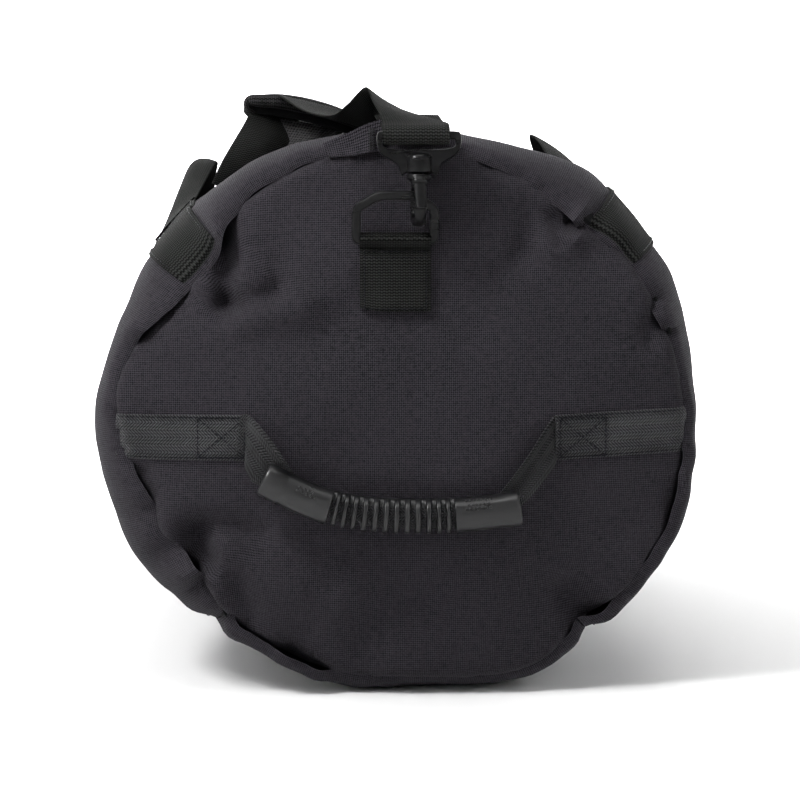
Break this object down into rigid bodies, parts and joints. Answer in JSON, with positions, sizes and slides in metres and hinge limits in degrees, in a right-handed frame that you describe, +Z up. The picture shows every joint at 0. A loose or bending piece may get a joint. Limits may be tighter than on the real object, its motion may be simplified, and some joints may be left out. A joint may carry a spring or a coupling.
{
  "type": "duffel bag",
  "caption": "Soft barrel duffel bag, stuffed, with a zipped top, webbing carry handles, ribbed end grips and a clip-on padded shoulder strap.",
  "frame": {"origin": "on the underside of the base panel, at the middle of the bag", "axes": "+Y along the bag from the front end to the rear end, +Z up, +X to the right seen from the front end"},
  "size_m": [0.3548, 0.7072, 0.3566],
  "materials": {
    "bag_fabric": "matte plain-weave polyester, near black",
    "webbing": "ribbed polypropylene webbing, black",
    "moulded_plastic": "satin moulded plastic, black",
    "zip_coil": "coil zip on woven tape, black",
    "zip_metal": "painted die-cast metal, black",
    "binding": "seam binding tape, black",
    "pad_fabric": "air-mesh over foam, black"
  },
  "bodies": {
    "bag": {"base_panel": "bag_fabric", "side_panel_left": "bag_fabric", "side_panel_right": "bag_fabric", "front_end_panel": "bag_fabric", "rear_end_panel": "bag_fabric", "front_seam_binding": "binding", "rear_seam_binding": "binding", "base_seam_tape_left": "binding", "base_seam_tape_right": "binding", "zip_tape_left": "zip_coil", "zip_tape_right": "zip_coil", "zip_teeth_left": "zip_coil", "zip_teeth_right": "zip_coil", "front_zip_stop": "webbing", "rear_zip_stop": "webbing", "webbing_left_front": "webbing", "webbing_left_rear": "webbing", "webbing_right_front": "webbing", "webbing_right_rear": "webbing", "front_dring_tab": "webbing", "rear_dring_tab": "webbing", "front_band_left": "webbing", "front_band_right": "webbing", "rear_band_left": "webbing", "rear_band_right": "webbing", "shoulder_strap": "webbing", "strap_tail": "webbing", "carry_root_left_front": "webbing", "carry_root_left_rear": "webbing", "carry_root_right_front": "webbing", "carry_root_right_rear": "webbing"},
    "left_carry_handle": {"carry_handle_left": "webbing"},
    "right_carry_handle": {"carry_handle_right": "webbing"},
    "zip_slider_front": {"zip_slider_front": "zip_metal"},
    "zip_pull_front": {"zip_pull_front": "zip_metal"},
    "zip_slider_rear": {"zip_slider_rear": "zip_metal"},
    "zip_pull_rear": {"zip_pull_rear": "zip_metal"},
    "shoulder_pad": {"shoulder_pad": "pad_fabric", "pad_keeper_front": "webbing", "pad_keeper_rear": "webbing"},
    "strap_adjuster": {"strap_adjuster": "moulded_plastic"},
    "front_handle": {"front_grip": "moulded_plastic", "front_handle_webbing": "webbing"},
    "front_dring": {"front_dring": "moulded_plastic"},
    "front_hook_frame": {"front_hook_frame": "moulded_plastic"},
    "front_hook": {"front_hook": "moulded_plastic"},
    "front_hook_gate": {"front_hook_gate": "moulded_plastic"},
    "rear_handle": {"rear_grip": "moulded_plastic", "rear_handle_webbing": "webbing"},
    "rear_dring": {"rear_dring": "moulded_plastic"},
    "rear_hook_frame": {"rear_hook_frame": "moulded_plastic"},
    "rear_hook": {"rear_hook": "moulded_plastic"},
    "rear_hook_gate": {"rear_hook_gate": "moulded_plastic"}
  },
  "joints": [
    {"name": "right_carry_handle_swing", "type": "hinge", "parent": "bag", "child": "right_carry_handle", "pos_m": [0.13825, 0, 0.27162], "axis": [0, 1, 0], "range_deg": [0, 125], "deforming": ["carry_root_right_front", "carry_root_right_rear"]},
    {"name": "left_carry_handle_swing", "type": "hinge", "parent": "bag", "child": "left_carry_handle", "pos_m": [-0.13825, 0, 0.27162], "axis": [0, -1, 0], "range_deg": [0, 75], "deforming": ["carry_root_left_front", "carry_root_left_rear"]},
    {"name": "zip_slider_front_slide", "type": "slide", "parent": "bag", "child": "zip_slider_front", "axis": [0, 1, 0], "range_m": [-0.17, 0]},
    {"name": "zip_slider_rear_slide", "type": "slide", "parent": "bag", "child": "zip_slider_rear", "axis": [0, 1, 0], "range_m": [0, 0.23]},
    {"name": "zip_pull_front_flip", "type": "hinge", "parent": "zip_slider_front", "child": "zip_pull_front", "pos_m": [0, -0.0275, 0.3306], "axis": [-1, 0, 0], "range_deg": [0, 120]},
    {"name": "zip_pull_rear_flip", "type": "hinge", "parent": "zip_slider_rear", "child": "zip_pull_rear", "pos_m": [0, 0.0275, 0.3306], "axis": [1, 0, 0], "range_deg": [0, 120]},
    {"name": "shoulder_pad_slide", "type": "slide", "parent": "bag", "child": "shoulder_pad", "axis": [0, 1, 0], "range_m": [-0.015, 0.03]},
    {"name": "strap_adjuster_slide", "type": "slide", "parent": "bag", "child": "strap_adjuster", "axis": [0, 1, 0], "range_m": [-0.02, 0.03]},
    {"name": "front_handle_swing", "type": "hinge", "parent": "bag", "child": "front_handle", "pos_m": [0, -0.329, 0.149], "axis": [-1, 0, 0], "range_deg": [0, 110]},
    {"name": "front_hook_swing", "type": "hinge", "parent": "bag", "child": "front_hook_frame", "pos_m": [0.0145, -0.34016, 0.3237], "axis": [-1, 0, 0], "range_deg": [0, 4]},
    {"name": "front_dring_swing", "type": "hinge", "parent": "bag", "child": "front_dring", "pos_m": [0, -0.32716, 0.2597], "axis": [1, 0, 0], "range_deg": [0, 10]},
    {"name": "front_hook_swivel", "type": "hinge", "parent": "front_hook_frame", "child": "front_hook", "pos_m": [0.0145, -0.34016, 0.3237], "axis": [0, 0, 1], "range_deg": [-2, 8]},
    {"name": "front_hook_gate_open", "type": "hinge", "parent": "front_hook", "child": "front_hook_gate", "pos_m": [0.0145, -0.34796, 0.2925], "axis": [1, 0, 0], "range_deg": [0, 6], "stiffness_Nm_per_rad": 0.02, "springref_deg": -5.73},
    {"name": "rear_handle_swing", "type": "hinge", "parent": "bag", "child": "rear_handle", "pos_m": [0, 0.329, 0.149], "axis": [1, 0, 0], "range_deg": [0, 110]},
    {"name": "rear_hook_swing", "type": "hinge", "parent": "bag", "child": "rear_hook_frame", "pos_m": [-0.0145, 0.34016, 0.3237], "axis": [1, 0, 0], "range_deg": [0, 4]},
    {"name": "rear_dring_swing", "type": "hinge", "parent": "bag", "child": "rear_dring", "pos_m": [0, 0.32716, 0.2597], "axis": [-1, 0, 0], "range_deg": [0, 10]},
    {"name": "rear_hook_swivel", "type": "hinge", "parent": "rear_hook_frame", "child": "rear_hook", "pos_m": [-0.0145, 0.34016, 0.3237], "axis": [0, 0, 1], "range_deg": [-2, 8]},
    {"name": "rear_hook_gate_open", "type": "hinge", "parent": "rear_hook", "child": "rear_hook_gate", "pos_m": [-0.0145, 0.34796, 0.2925], "axis": [-1, 0, 0], "range_deg": [0, 6], "stiffness_Nm_per_rad": 0.02, "springref_deg": -5.73}
  ],
  "couplings": [
    {"joint": "front_dring_swing", "follows": "front_hook_swing", "ratio": 2.5},
    {"joint": "rear_dring_swing", "follows": "rear_hook_swing", "ratio": 2.5}
  ]
}
